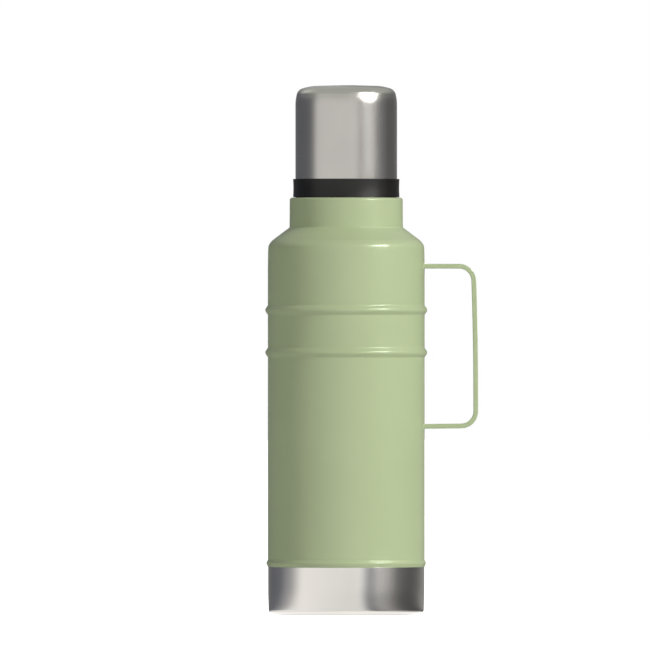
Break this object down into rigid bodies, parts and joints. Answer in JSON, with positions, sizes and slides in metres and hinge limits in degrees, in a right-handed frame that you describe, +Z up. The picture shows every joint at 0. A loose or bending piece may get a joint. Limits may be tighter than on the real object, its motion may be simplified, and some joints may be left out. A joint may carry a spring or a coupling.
{
  "type": "vacuum flask",
  "caption": "Tall insulated steel flask with a sloping shoulder, rolled beads, a flat strap handle, a screw stopper and a screw-on drinking cup.",
  "frame": {"origin": "middle of the foot, on the flask's axis, in the plane that it stands on", "axes": "+Z up the flask's axis to the cup's crown, +X from the axis towards the strap handle, +Y away from a viewer who has the handle on the right"},
  "size_m": [0.1543, 0.1174, 0.3838],
  "materials": {
    "green_coat": "sage green powder coat, smooth satin",
    "bare_steel": "satin stainless steel with a smooth sheen",
    "mouth_steel": "turned stainless steel",
    "liner_steel": "electropolished stainless steel",
    "plate_steel": "mill-finish stainless steel",
    "foil": "bright foil",
    "solder_glass": "fused dark glass solder",
    "getter": "pressed metal powder",
    "black_plastic": "moulded black polypropylene, satin",
    "stopper_plastic": "moulded charcoal polypropylene",
    "black_rubber": "matt black silicone rubber",
    "clear_silicone": "natural silicone rubber",
    "foam": "rigid insulating foam"
  },
  "bodies": {
    "flask": {"body_shell": "green_coat", "mouth_ring": "mouth_steel", "liner_tube": "liner_steel", "liner_neck": "liner_steel", "liner_bottom": "liner_steel", "foil_wrap": "foil", "base_plate": "plate_steel", "solder_bead": "solder_glass", "getter_clip": "plate_steel", "getter_pellet": "getter", "base_cup": "bare_steel", "handle_strap": "green_coat", "handle_weld_upper": "green_coat", "handle_weld_lower": "green_coat"},
    "cup_seal": {"cup_gasket": "black_rubber"},
    "cup": {"cup_shell": "bare_steel", "cup_liner": "black_plastic", "cup_collar": "black_plastic"},
    "stopper_seal": {"stopper_gasket": "clear_silicone"},
    "stopper": {"stopper_foot": "stopper_plastic", "stopper_body": "stopper_plastic", "stopper_foam": "foam", "stopper_cap": "stopper_plastic"}
  },
  "joints": [
    {"name": "cup_lift", "type": "slide", "parent": "flask", "child": "cup_seal", "axis": [0, 0, 1], "range_m": [0, 0.0482]},
    {"name": "cup_unscrew", "type": "hinge", "parent": "cup_seal", "child": "cup", "pos_m": [0, 0, 0.309], "axis": [0, 0, 1], "range_deg": [0, 1440]},
    {"name": "stopper_lift", "type": "slide", "parent": "flask", "child": "stopper_seal", "axis": [0, 0, 1], "range_m": [0, 0.0362]},
    {"name": "stopper_unscrew", "type": "hinge", "parent": "stopper_seal", "child": "stopper", "pos_m": [0, 0, 0.302], "axis": [0, 0, 1], "range_deg": [0, 1620]}
  ],
  "couplings": [
    {"joint": "cup_lift", "follows": "cup_unscrew", "m_per_rad": 0.0019099},
    {"joint": "stopper_lift", "follows": "stopper_unscrew", "m_per_rad": 0.0012732}
  ]
}
